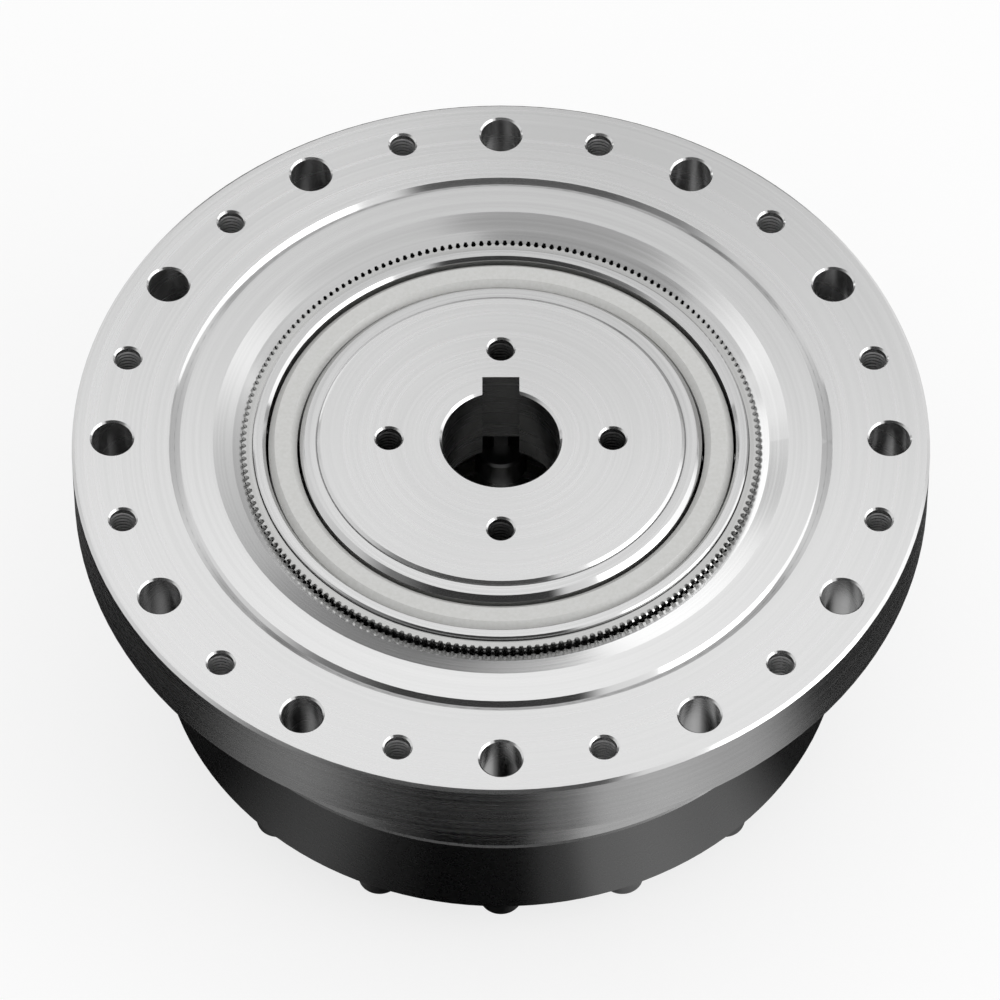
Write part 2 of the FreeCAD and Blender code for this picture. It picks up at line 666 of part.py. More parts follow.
def make_output_flange():
    apex_r = roller_pitch_r - raceway_depth
    rim_inner_r = apex_r - OUTPUT_RIM_T
    spigot_top_z = boss_seat_z + OUTPUT_SPIGOT_H
    land_z = seal_top_z + SEAL_LAND_STEP
    pilot_r_low = OUTPUT_PILOT_D / 2
    pilot_z = output_end_z + OUTPUT_PILOT_DEPTH
    body = turned([
        (0, spigot_top_z),
        (boss_bore_r - SEAT_CLEARANCE, spigot_top_z),
        (boss_bore_r - SEAT_CLEARANCE, boss_seat_z),
        (boss_r, boss_seat_z),
        (boss_r, output_dish_z),
        (rim_inner_r, output_dish_z),
        (rim_inner_r, output_rim_z),
        (inner_land_r, output_rim_z),
        (inner_land_r, roller_z + raceway_half_h),
        (apex_r + RACEWAY_RELIEF, roller_z + RACEWAY_RELIEF),
        (apex_r, roller_z + RACEWAY_RELIEF),
        (apex_r, roller_z - RACEWAY_RELIEF),
        (apex_r + RACEWAY_RELIEF, roller_z - RACEWAY_RELIEF),
        (inner_land_r, roller_z - raceway_half_h),
        (inner_land_r, land_z),
        (seal_land_r, land_z - SEAL_LAND_STEP),
        (seal_land_r, output_end_z + OUTPUT_CHAMFER),
        (seal_land_r - OUTPUT_CHAMFER, output_end_z),
        (pilot_r_low, output_end_z),
        (pilot_r_low, pilot_z),
        (0, pilot_z),
    ])
    above = boss_seat_z + OVERSHOOT
    tap_r = M5_D / 2 + THREAD_CLEARANCE
    cuts = holes(BOSS_SCREWS, boss_screw_r, tap_r, boss_seat_z - BOSS_TAP_DEPTH, above)
    dowel_r = DOWEL_D / 2 + SEAT_CLEARANCE
    cuts += holes(DOWELS, boss_screw_r, dowel_r, boss_seat_z - DOWEL_DEPTH, above, dowel_first)
    below = output_end_z - OVERSHOOT
    tap_top = output_end_z + OUTPUT_TAP_DEPTH
    cuts += holes(OUTPUT_TAPS, output_tap_circle_r, OUTPUT_TAP_D / 2, below, tap_top)
    cuts += broken_edges(OUTPUT_TAPS, output_tap_circle_r, OUTPUT_TAP_D / 2, output_end_z, 1)
    return body.cut(cuts)


def make_housing_o_ring():
    wire_r = (O_RING_GROOVE_DEPTH + SEAT_CLEARANCE) / 2 - SEAT_CLEARANCE
    middle_r = spigot_r - O_RING_GROOVE_DEPTH + SEAT_CLEARANCE + wire_r
    middle = FreeCAD.Vector(0, 0, housing_end_z + SPIGOT_H / 2)
    return Part.makeTorus(middle_r, wire_r, middle, Z_AXIS)


def make_oil_seal():
    lip_r = seal_land_r + SEAL_LIP_CLEARANCE
    back_r = seal_lip_back_r
    case_r = seal_bore_r - SEAL_CASE_T
    floor_z = ring_end_z + SEAL_CASE_T
    lip_top_z = ring_end_z + SEAL_LIP_H
    return turned([
        (seal_bore_r, seal_top_z),
        (seal_bore_r, ring_end_z),
        (back_r - SEAL_CASE_T / 2, ring_end_z),
        (lip_r, ring_end_z + SEAL_H / 2),
        (back_r - SEAL_CASE_T / 2, lip_top_z),
        (back_r, lip_top_z),
        (back_r, floor_z),
        (case_r, floor_z),
        (case_r, seal_top_z),
    ])


def make_seal_garter_spring():
    wire_r = SPRING_WIRE_D / 2
    middle_r = seal_lip_back_r + wire_r + SEAT_CLEARANCE
    return Part.makeTorus(middle_r, wire_r, FreeCAD.Vector(0, 0, ring_end_z + SEAL_H / 2), Z_AXIS)


PIECES = {
    "flange_housing": make_flange_housing,
    "circular_spline": make_circular_spline,
    "spline_screws": make_spline_screws,
    "bearing_ring_upper": make_bearing_ring_upper,
    "bearing_ring_lower": make_bearing_ring_lower,
    "bearing_screws": make_bearing_screws,
    "housing_o_ring": make_housing_o_ring,
    "oil_seal": make_oil_seal,
    "seal_garter_spring": make_seal_garter_spring,
    "cross_rollers": make_cross_rollers,
    "roller_cage": make_roller_cage,
    "output_flange": make_output_flange,
    "flexspline": make_flexspline,
    "flexspline_clamp_ring": make_flexspline_clamp_ring,
    "flexspline_screws": make_flexspline_screws,
    "flexspline_dowel_pins": make_flexspline_dowel_pins,
    "wave_generator_plug": make_wave_generator_plug,
    "wave_bearing_inner_race": make_wave_bearing_inner_race,
    "wave_bearing_balls": make_wave_bearing_balls,
    "wave_bearing_cage": make_wave_bearing_cage,
    "wave_bearing_outer_race": make_wave_bearing_outer_race,
}

os.makedirs("parts", exist_ok=True)
for name, make in PIECES.items():
    shape = make()
    shape.exportStep(os.path.join("parts", name + ".step"))
    print(f"{name}: {len(shape.Solids)} solids, {shape.Volume:.1f} mm3, valid {shape.isValid()}")
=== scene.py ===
# %% [markdown]
# # A strain wave gearbox, dressed for its portrait
#
# The frame that this lesson loads already holds every working piece at its real size: the flange housing,
# the toothed rings, the oval wave generator and the output bearing. What is left for Blender is what the
# eye reads: turned and ground steel, black oxide, the teeth that bend round with the wave, knurled screw
# heads and threads.

# %% Load the frame
import json
import math

import bmesh
import bpy
from mathutils import Matrix, Vector


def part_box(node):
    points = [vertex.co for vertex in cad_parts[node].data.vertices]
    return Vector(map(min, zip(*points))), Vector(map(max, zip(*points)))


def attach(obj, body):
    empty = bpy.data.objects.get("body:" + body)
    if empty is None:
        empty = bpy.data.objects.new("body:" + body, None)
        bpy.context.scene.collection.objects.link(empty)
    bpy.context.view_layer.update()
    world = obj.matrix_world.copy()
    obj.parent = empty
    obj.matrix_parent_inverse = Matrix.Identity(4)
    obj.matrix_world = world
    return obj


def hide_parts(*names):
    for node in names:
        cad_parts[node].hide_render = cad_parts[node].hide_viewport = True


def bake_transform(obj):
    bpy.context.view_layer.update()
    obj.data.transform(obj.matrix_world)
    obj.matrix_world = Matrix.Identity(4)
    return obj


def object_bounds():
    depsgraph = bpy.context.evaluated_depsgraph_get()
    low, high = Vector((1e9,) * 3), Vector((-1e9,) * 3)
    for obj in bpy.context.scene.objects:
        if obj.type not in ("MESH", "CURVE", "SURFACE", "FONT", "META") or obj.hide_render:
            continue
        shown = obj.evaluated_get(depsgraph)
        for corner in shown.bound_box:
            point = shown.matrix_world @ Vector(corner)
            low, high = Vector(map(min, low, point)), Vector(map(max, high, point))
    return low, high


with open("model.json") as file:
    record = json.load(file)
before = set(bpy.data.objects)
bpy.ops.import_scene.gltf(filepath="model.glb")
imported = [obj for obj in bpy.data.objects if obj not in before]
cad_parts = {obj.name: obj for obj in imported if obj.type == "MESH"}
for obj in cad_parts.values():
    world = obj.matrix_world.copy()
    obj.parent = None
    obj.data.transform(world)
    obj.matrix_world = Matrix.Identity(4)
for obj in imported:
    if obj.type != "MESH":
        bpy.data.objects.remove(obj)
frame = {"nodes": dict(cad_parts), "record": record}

cad_box = [list(corner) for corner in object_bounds()]
MM = 0.001
size_mm = [(high - low) / MM for low, high in zip(*cad_box)]
print("CAD nodes:", len(frame["nodes"]), "size in mm:", [round(side, 1) for side in size_mm])

# %% [markdown]
# ## Small tools
#
# Colours are written as sRGB hex values, as a painter would read them off a swatch, and Blender wants
# them linear. A material is a little network, so one function adds a node together with its settings,
# numbers and wires.

# %% Colour and node tools
def srgb(hex_code):
    """An sRGB hex colour as linear red, green, blue and alpha."""
    channels = [int(hex_code[i:i + 2], 16) / 255 for i in (0, 2, 4)]
    linear = [c / 12.92 if c <= 0.04045 else ((c + 0.055) / 1.055) ** 2.4 for c in channels]
    return (*linear, 1.0)


def add_node(tree, kind, settings={}, values={}, links={}):
    """One node: its properties, the numbers on its sockets and the wires that come into it."""
    node = tree.nodes.new(kind)
    for name, value in settings.items():
        setattr(node, name, value)
    for socket, value in values.items():
        node.inputs[socket].default_value = value
    for socket, source in links.items():
        tree.links.new(source, node.inputs[socket])
    return node


def empty_material(name):
    """A material with no nodes yet."""
    material = bpy.data.materials.new(name)
    material.use_nodes = True
    material.node_tree.nodes.clear()
    return material


print("mid grey 808080 is", round(srgb("808080")[0], 3), "in linear light")

# %% [markdown]
# ## The camera
#
# The photograph looks down on the input face from 53 degrees, with a long lens: the far and near edges of
# the flange are almost the same width. The long lens is matched by a camera 1.4 m away. It aims a little
# below the flange's centre, so that the unit sits in the frame as it does there.

# %% Camera
CAMERA_ELEVATION = 53.3
CAMERA_DISTANCE = 1399.5 * MM
LENS = 313.4
SENSOR_WIDTH = 36.0
FAR_CLIP = 20.0
AIM = Vector((-0.14, -7.98, -5.95)) * MM

elevation = math.radians(CAMERA_ELEVATION)
camera_place = CAMERA_DISTANCE * Vector((0, -math.cos(elevation), math.sin(elevation)))
bpy.ops.object.select_all(action="DESELECT")
bpy.ops.object.camera_add(location=camera_place)
camera = bpy.context.object
camera.name = "portrait_camera"
camera.rotation_euler = (AIM - camera_place).to_track_quat("-Z", "Y").to_euler()
camera.data.lens = LENS
camera.data.sensor_width = SENSOR_WIDTH
camera.data.clip_end = FAR_CLIP
bpy.context.scene.camera = camera
bpy.context.scene.view_settings.view_transform = "Standard"
print("camera at", [round(c, 3) for c in camera_place])

# %% [markdown]
# ## The floor
#
# The picture has a pure white ground. The floor is a pale sheet that glows white to the camera and to
# reflections, and on top of that takes a little of the real light, so the unit's soft shadow still shows
# on it. Seen from below it is clear, so that the output side can be looked at too.

# %% Floor sheet
FLOOR_SIDE = 6.0
# A hair under the unit, so that the sheet and the output face don't lie in one plane.
FLOOR_DROP = 0.05 * MM

floor_z = cad_box[0][2] - FLOOR_DROP
bpy.ops.object.select_all(action="DESELECT")
bpy.ops.mesh.primitive_plane_add(size=FLOOR_SIDE, location=(0, 0, floor_z))
floor = bpy.context.object
floor.name = "studio_floor"
print("floor at", round(floor_z / MM, 2), "mm")

# %% White paper
FLOOR_GLOW = 0.74
FLOOR_COLOUR = "9A9A9A"


def seen_directly(tree):
    """1 for rays that show a thing, straight, in gloss or through glass, and 0 for rays that carry light."""
    light_path = add_node(tree, "ShaderNodeLightPath")
    camera_or_gloss = add_node(tree, "ShaderNodeMath", {"operation": "MAXIMUM"}, links={
        0: light_path.outputs["Is Camera Ray"], 1: light_path.outputs["Is Glossy Ray"]})
    return add_node(tree, "ShaderNodeMath", {"operation": "MAXIMUM"}, links={
        0: camera_or_gloss.outputs[0], 1: light_path.outputs["Is Transmission Ray"]}).outputs[0]


floor_paper = empty_material("white paper sheet")
tree = floor_paper.node_tree
glow_level = add_node(tree, "ShaderNodeMath", {"operation": "MULTIPLY"}, {1: FLOOR_GLOW}, {
    0: seen_directly(tree)})
glow = add_node(tree, "ShaderNodeEmission", links={"Strength": glow_level.outputs[0]})
paper = add_node(tree, "ShaderNodeBsdfDiffuse", values={"Color": srgb(FLOOR_COLOUR)})
both = add_node(tree, "ShaderNodeAddShader", links={0: glow.outputs[0], 1: paper.outputs[0]})
geometry = add_node(tree, "ShaderNodeNewGeometry")
clear = add_node(tree, "ShaderNodeBsdfTransparent")
one_sided = add_node(tree, "ShaderNodeMixShader", links={
    0: geometry.outputs["Backfacing"], 1: both.outputs[0], 2: clear.outputs[0]})
add_node(tree, "ShaderNodeOutputMaterial", links={"Surface": one_sided.outputs[0]})
floor.data.materials.append(floor_paper)
print("the floor is a", floor_paper.name)

# %% [markdown]
# ## The light
#
# The studio is a white room. The world is white where the camera and reflections see it, and a little
# dimmer as a source of light. One square softbox stands at the right front, and every slope that faces it
# gets a white streak.

# %% World
WORLD_LEVEL = 0.85

world = bpy.data.worlds.new("white studio")
bpy.context.scene.world = world
world.use_nodes = True
tree = world.node_tree
tree.nodes.clear()
level = add_node(tree, "ShaderNodeMapRange", values={"To Min": WORLD_LEVEL, "To Max": 1.0}, links={
    "Value": seen_directly(tree)})
sky = add_node(tree, "ShaderNodeBackground", links={"Strength": level.outputs[0]})
add_node(tree, "ShaderNodeOutputWorld", links={"Surface": sky.outputs[0]})
print("world lights at", WORLD_LEVEL)

# %% Softbox
def around(azimuth, height_angle, distance):
    """A place round the unit: azimuth from the front towards the right, then the angle above the floor."""
    a, h = math.radians(azimuth), math.radians(height_angle)
    return distance * Vector((math.sin(a) * math.cos(h), -math.cos(a) * math.cos(h), math.sin(h)))


def softbox(name, azimuth, height_angle, distance, side, radiance):
    """A square area lamp that looks at the unit, as bright as its radiance says."""
    place = around(azimuth, height_angle, distance)
    bpy.ops.object.light_add(type="AREA", location=place)
    lamp = bpy.context.object
    lamp.name = name
    lamp.rotation_euler = (-place).to_track_quat("-Z", "Y").to_euler()
    lamp.data.size = side
    lamp.data.energy = radiance * math.pi * side * side
    return lamp


bpy.ops.object.select_all(action="DESELECT")
key_lamp = softbox("right_softbox", azimuth=68, height_angle=27, distance=1.1, side=0.7, radiance=1.6)
print("softbox power in watts:", round(key_lamp.data.energy, 2))

# %% [markdown]
# ## Cards for the reflections
#
# Metal shows its surroundings, so a photographer stands black and white cards where its faces look. Each
# card here is a plain sheet that glows at set levels and that only reflections can see, so it shapes the
# bands on the metal and leaves the light and the picture's ground alone. Levels are graded by the angle
# round the unit or by height.

# %% Card tools
def even_glow(name, level):
    """A card that glows at one level all over."""
    material = empty_material(name)
    tree = material.node_tree
    light = add_node(tree, "ShaderNodeEmission", values={"Strength": level})
    add_node(tree, "ShaderNodeOutputMaterial", links={"Surface": light.outputs[0]})
    return material


def graded_glow(name, stops, by_angle):
    """A glowing card. Stops pair a level with degrees round from the front, or with a height in metres."""
    material = empty_material(name)
    tree = material.node_tree
    place = add_node(tree, "ShaderNodeTexCoord")
    parts = add_node(tree, "ShaderNodeSeparateXYZ", links={0: place.outputs["Object"]})
    along = parts.outputs["Z"]
    unit = 1.0
    if by_angle:
        front = add_node(tree, "ShaderNodeMath", {"operation": "MULTIPLY"}, {1: -1.0}, {
            0: parts.outputs["Y"]})
        along = add_node(tree, "ShaderNodeMath", {"operation": "ARCTAN2"}, links={
            0: parts.outputs["X"], 1: front.outputs[0]}).outputs[0]
        unit = math.radians(1)
    first, last = stops[0][0], stops[-1][0]
    share = add_node(tree, "ShaderNodeMapRange", values={
        "From Min": first * unit, "From Max": last * unit}, links={"Value": along})
    ramp = add_node(tree, "ShaderNodeValToRGB", links={"Fac": share.outputs[0]})
    ramp.color_ramp.interpolation = "EASE"
    peak = max(level for at, level in stops)
    while len(ramp.color_ramp.elements) < len(stops):
        ramp.color_ramp.elements.new(0.5)
    for element, (at, level) in zip(ramp.color_ramp.elements, stops):
        element.position = (at - first) / (last - first)
        element.color = (level / peak, level / peak, level / peak, 1.0)
    light = add_node(tree, "ShaderNodeEmission", values={"Strength": peak}, links={
        "Color": ramp.outputs["Color"]})
    add_node(tree, "ShaderNodeOutputMaterial", links={"Surface": light.outputs[0]})
    return material


def as_card(glow):
    """Makes the active object a card: out of the picture and the light, so that only gloss shows it."""
    card = bpy.context.object
    card.name = glow.name
    card.data.materials.append(glow)
    card.visible_camera = False
    card.visible_diffuse = False
    card.visible_transmission = False
    card.visible_shadow = False
    return card


print("card tools ready")

# %% [markdown]
# ### Low cards
#
# Upright sides mirror the floor, which is white. A round card on the floor gives them their tones: dark
# ends, a black front and a pale patch at the right. A tilted band follows the directions that 45 degree
# chamfers mirror: black at the front, so the fine seam and the edges draw dark there, and bright at the
# right, where they flash white.

# %% Floor card
CARD_SEGMENTS = 96
FLOOR_CARD_R = 180 * MM
FLOOR_CARD_WIDEN = 1.4
FLOOR_CARD_LIFT = 0.2 * MM
FLOOR_CARD_STOPS = [
    (-180, 0.02), (-156, 0.12), (-132, 0.01), (-64, 0.01), (-37, 0.21), (-20, 0.03), (-13, 0.0), (3, 0.005),
    (12, 0.16), (20, 0.50), (30, 0.56), (46, 0.44), (66, 0.02), (126, 0.01), (143, 0.34), (160, 0.14),
    (180, 0.02),
]

bpy.ops.object.select_all(action="DESELECT")
bpy.ops.mesh.primitive_circle_add(vertices=CARD_SEGMENTS, radius=FLOOR_CARD_R, fill_type="NGON",
                                  location=(0, 0, floor_z + FLOOR_CARD_LIFT))
bpy.context.object.scale.x = FLOOR_CARD_WIDEN
bpy.ops.object.transform_apply(location=False, rotation=False, scale=True)
floor_card = as_card(graded_glow("floor_card", FLOOR_CARD_STOPS, by_angle=True))
print("made", floor_card.name)

# %% Band card
BAND_CARD_R = 1.25
BAND_CARD_HEIGHT = 0.375
BAND_CARD_MIDDLE = 0.444
BAND_CARD_TILT = 19.4
BAND_CARD_STOPS = [
    (-180, 1.0), (-100, 0.95), (-75, 0.85), (-50, 0.24), (-28, 0.06), (0, 0.05), (22, 0.06), (32, 1.0),
    (80, 1.6), (112, 1.6), (126, 1.0), (180, 1.0),
]

bpy.ops.object.select_all(action="DESELECT")
bpy.ops.mesh.primitive_cylinder_add(vertices=CARD_SEGMENTS, radius=BAND_CARD_R, depth=BAND_CARD_HEIGHT,
                                    end_fill_type="NOTHING", location=(0, 0, BAND_CARD_MIDDLE),
                                    rotation=(-math.radians(BAND_CARD_TILT), 0, 0))
band_card = as_card(graded_glow("band_card", BAND_CARD_STOPS, by_angle=True))
print("made", band_card.name)

# %% [markdown]
# ### Cards behind and above
#
# The level faces mirror what stands behind the unit. A tall card there is graded from grey to white and
# gives the input face its soft change of tone. Smaller cards in front of it make the white and dark
# patches on the near part of the circular spline's slope. Two grey cards overhead tone down its far part
# and the lead-in of the teeth there.

# %% Back cards
def back_card(name, place, width, height, stops):
    """A card that stands behind the unit and faces it, graded up its height."""
    bpy.ops.object.select_all(action="DESELECT")
    bpy.ops.mesh.primitive_plane_add(size=1.0, location=place, rotation=(math.pi / 2, 0, 0))
    bpy.context.object.scale = (width, height, 1.0)
    bpy.ops.object.transform_apply(location=False, rotation=True, scale=True)
    return as_card(graded_glow(name, stops, by_angle=False))


back_cards = [
    back_card("graded_back_card", place=(0.0, 0.30, 0.50), width=1.2, height=0.9, stops=[
        (-0.45, 0.5), (-0.33, 0.62), (-0.22, 0.76), (0.06, 1.36), (0.18, 1.2), (0.45, 0.95)]),
    back_card("left_white_card", place=(-0.29, 0.285, 0.29), width=0.22, height=0.20, stops=[
        (-0.10, 1.5), (0.10, 1.4)]),
    back_card("low_white_card", place=(-0.175, 0.29, 0.11), width=0.30, height=0.22, stops=[
        (-0.11, 1.7), (0.0, 1.7), (0.11, 1.3)]),
    back_card("low_black_card", place=(0.045, 0.29, 0.11), width=0.08, height=0.22, stops=[
        (-0.11, 0.12), (0.0, 0.18), (0.11, 0.6)]),
]
print("back cards:", len(back_cards))

# %% Cards overhead
def overhead_card(name, place, width, depth, turn, level):
    """A level card above the unit, turned by an angle in degrees, with one level all over."""
    bpy.ops.object.select_all(action="DESELECT")
    bpy.ops.mesh.primitive_plane_add(size=1.0, location=place, rotation=(0, 0, math.radians(turn)))
    bpy.context.object.scale = (width, depth, 1.0)
    return as_card(even_glow(name, level))


overhead_cards = [
    overhead_card("top_card", place=(-0.14, 0.06, 1.2), width=0.5, depth=0.5, turn=0.0, level=0.48),
    overhead_card("high_front_card", place=(-0.45, -0.31, 1.2), width=1.15, depth=0.28, turn=-23.6,
                  level=0.4),
]
print("overhead cards:", len(overhead_cards))

# %% [markdown]
# ## Turned steel
#
# The housing, the circular spline and the wave generator's plug are steel turned on a lathe. The tool
# leaves fine rings: circles round the axis on flat faces, and bands along the axis on the sides. One
# number runs across both kinds, the radius plus the height, so a noise along that number draws every
# mark. Real marks are 0.1 mm apart. They are drawn at about 0.5 mm, because finer ones don't show at this
# size.

# %% Lathe marks
RING_CHANGE = 0.4


def from_axis(tree):
    """A point's place across the axis, its distance from the axis and its height."""
    place = add_node(tree, "ShaderNodeTexCoord")
    flat = add_node(tree, "ShaderNodeVectorMath", {"operation": "MULTIPLY"}, {1: (1.0, 1.0, 0.0)}, {
        0: place.outputs["Object"]})
    radius = add_node(tree, "ShaderNodeVectorMath", {"operation": "LENGTH"}, links={0: flat.outputs[0]})
    parts = add_node(tree, "ShaderNodeSeparateXYZ", links={0: place.outputs["Object"]})
    return flat.outputs[0], radius.outputs["Value"], parts.outputs["Z"]


def turning_marks(tree, spacing_mm):
    """Noise that runs in rings round the Z axis, as a lathe leaves it, with slow changes along each ring."""
    flat, radius, height = from_axis(tree)
    across = add_node(tree, "ShaderNodeMath", {"operation": "ADD"}, links={0: radius, 1: height})
    turn = add_node(tree, "ShaderNodeVectorMath", {"operation": "NORMALIZE"}, links={0: flat})
    slow = add_node(tree, "ShaderNodeVectorMath", {"operation": "SCALE"}, {"Scale": RING_CHANGE}, {
        0: turn.outputs[0]})
    turn_parts = add_node(tree, "ShaderNodeSeparateXYZ", links={0: slow.outputs[0]})
    steps = add_node(tree, "ShaderNodeMath", {"operation": "MULTIPLY"}, {1: 1.0 / (spacing_mm * MM)}, {
        0: across.outputs[0]})
    ring_place = add_node(tree, "ShaderNodeCombineXYZ", links={
        "X": turn_parts.outputs["X"], "Y": turn_parts.outputs["Y"], "Z": steps.outputs[0]})
    noise = add_node(tree, "ShaderNodeTexNoise", values={
        "Scale": 1.0, "Detail": 1.0, "Roughness": 0.6}, links={"Vector": ring_place.outputs[0]})
    return noise.outputs["Fac"]


print("lathe marks ready")

# %% Two greys, level faces and the painted shade in the bore
# Noise mostly lies between these two values, so colours and gloss are spread over that stretch.
NOISE_LOW = 0.3
NOISE_HIGH = 0.7
UPRIGHT_BELOW = 0.3


def two_greys(tree, noise, dark, light, low=NOISE_LOW):
    """A colour that runs from dark to light as the noise rises."""
    share = add_node(tree, "ShaderNodeMapRange", values={"From Min": low, "From Max": NOISE_HIGH}, links={
        "Value": noise})
    return add_node(tree, "ShaderNodeMix", {"data_type": "RGBA"}, {6: srgb(dark), 7: srgb(light)}, {
        0: share.outputs[0]}).outputs[2]


def levelness(tree):
    """How level a face is: 1 on faces that look up or down, 0 on upright walls."""
    geometry = add_node(tree, "ShaderNodeNewGeometry")
    normal = add_node(tree, "ShaderNodeSeparateXYZ", links={0: geometry.outputs["Normal"]})
    return add_node(tree, "ShaderNodeMath", {"operation": "ABSOLUTE"}, links={
        0: normal.outputs["Z"]}).outputs[0]


def painted_bore_shade(tree, colour, radius_mm, shade):
    """The colour, with a painted shade, a darker grey, on the upright walls of the bore inside a radius."""
    _, radius, _ = from_axis(tree)
    inside = add_node(tree, "ShaderNodeMath", {"operation": "LESS_THAN"}, {1: radius_mm * MM}, {0: radius})
    upright = add_node(tree, "ShaderNodeMath", {"operation": "LESS_THAN"}, {1: UPRIGHT_BELOW}, {
        0: levelness(tree)})
    wall = add_node(tree, "ShaderNodeMath", {"operation": "MULTIPLY"}, links={
        0: inside.outputs[0], 1: upright.outputs[0]})
    return add_node(tree, "ShaderNodeMix", {"data_type": "RGBA"}, {7: srgb(shade)}, {
        0: wall.outputs[0], 6: colour}).outputs[2]


print("an upright face is one less level than", UPRIGHT_BELOW)

# %% Steel from the lathe
# Chamfers are cut last, with a fresh edge, so they come out half as rough as the faces beside them.
CHAMFER_LEVELNESS = math.cos(math.radians(45))
CHAMFER_SPREAD = 0.12
CHAMFER_GLEAM = 0.5


def turned_steel(name, dark, light, roughness, spacing_mm, mark_depth_mm, grain, bore=None):
    """Steel with lathe marks: two greys, a roughness range, and how far apart and deep the marks are."""
    material = empty_material(name)
    tree = material.node_tree
    marks = turning_marks(tree, spacing_mm)
    colour = two_greys(tree, marks, dark, light)
    # The upright walls of a bore get a darker grey, a painted shade.
    if bore:
        colour = painted_bore_shade(tree, colour, *bore)
    gloss = add_node(tree, "ShaderNodeMapRange", values={
        "From Min": NOISE_LOW, "From Max": NOISE_HIGH,
        "To Min": roughness[0], "To Max": roughness[1]}, links={"Value": marks})
    chamfer = add_node(tree, "ShaderNodeMath", {"operation": "COMPARE"}, {
        1: CHAMFER_LEVELNESS, 2: CHAMFER_SPREAD}, {0: levelness(tree)})
    gleam = add_node(tree, "ShaderNodeMapRange", values={"To Min": 1.0, "To Max": CHAMFER_GLEAM}, links={
        "Value": chamfer.outputs[0]})
    rough = add_node(tree, "ShaderNodeMath", {"operation": "MULTIPLY"}, links={
        0: gloss.outputs[0], 1: gleam.outputs[0]})
    bump = add_node(tree, "ShaderNodeBump", values={"Strength": 0.6, "Distance": mark_depth_mm * MM}, links={
        "Height": marks})
    along = add_node(tree, "ShaderNodeTangent", {"direction_type": "RADIAL", "axis": "Z"})
    shader = add_node(tree, "ShaderNodeBsdfPrincipled", values={
        "Metallic": 1.0, "Anisotropic": grain, "Anisotropic Rotation": 0.25}, links={
        "Base Color": colour, "Roughness": rough.outputs[0], "Normal": bump.outputs[0],
        "Tangent": along.outputs[0]})
    add_node(tree, "ShaderNodeOutputMaterial", links={"Surface": shader.outputs[0]})
    return material


print("chamfers have", CHAMFER_GLEAM, "of the roughness of the faces")

# %% Finishes of the turned faces
# Alloy steel turned with a fine feed: pale grey, with soft sweeps of light that follow the rings.
housing_steel = turned_steel("fine turned steel", "D1D1D1", "D7D7D7", roughness=(0.24, 0.28), spacing_mm=0.5,
                             mark_depth_mm=0.002, grain=0.4)
# The spline's ring is turned finer still, so its slope mirrors the cards more sharply.
spline_steel = turned_steel("fine turned spline steel", "D1D1D1", "D7D7D7", roughness=(0.16, 0.20),
                            spacing_mm=0.5, mark_depth_mm=0.0015, grain=0.3)
# The plug is turned as the housing is, and a painted shade darkens the walls of its bore and keyway.
plug_steel = turned_steel("fine turned plug steel", "CFCFCF", "D5D5D5", roughness=(0.24, 0.28),
                          spacing_mm=0.5, mark_depth_mm=0.002, grain=0.4, bore=(13.5, "A4A4A4"))
# The output flange is ground after hardening: a slightly darker grey with an even, quiet gleam.
output_steel = turned_steel("ground output steel", "BDBDBC", "C8C8C7", roughness=(0.22, 0.30), spacing_mm=0.6,
                            mark_depth_mm=0.004, grain=0.4)
print("turned:", housing_steel.name, spline_steel.name, plug_steel.name, output_steel.name)

# %% Finishes of the bearing and the flexspline
# The flexspline is tempered spring steel with shaped teeth: a duller grey that sets it off from the rings.
flexspline_steel = turned_steel("hardened flexspline steel", "B6B6B5", "C2C2C1", roughness=(0.2, 0.28),
                                spacing_mm=0.4, mark_depth_mm=0.003, grain=0.3)
# Bearing races are ground and honed: the brightest and sharpest rings in the picture.
race_steel = turned_steel("ground bearing steel", "C6C6C6", "D2D2D2", roughness=(0.14, 0.22), spacing_mm=0.4,
                          mark_depth_mm=0.002, grain=0.3)
# The roller cage is pressed from sheet: a warmer grey with a soft sheen.
cage_sheet = turned_steel("pressed cage sheet", "A9A8A6", "B8B7B5", roughness=(0.25, 0.35), spacing_mm=0.6,
                          mark_depth_mm=0.004, grain=0.2)
# The seal's spring is drawn wire: a bright grey with fine lines.
spring_steel = turned_steel("drawn spring wire", "AFAFAE", "BDBDBC", roughness=(0.2, 0.3), spacing_mm=0.3,
                            mark_depth_mm=0.002, grain=0.2)
print("bearing:", flexspline_steel.name, race_steel.name, cage_sheet.name, spring_steel.name)

# %% [markdown]
# ## Black oxide, rolling steel, polymer and rubber
#
# Black oxide is a thin film of magnetite grown on steel in a hot bath. It is black, yet it reflects about
# as much as dark glass does, so its index is high and its surface satin. The rolling pieces are polished
# steel. The wave bearing's cage is a pale moulded polymer, and the seals are black rubber. Each gets its
# grain from a noise whose scale is a size in millimetres, drawn a little coarse so that it shows.

# %% Black oxide
OXIDE_MARKS_MM = 0.7
OXIDE_MARK_DEPTH_MM = 0.004
OXIDE_LOW = 0.35


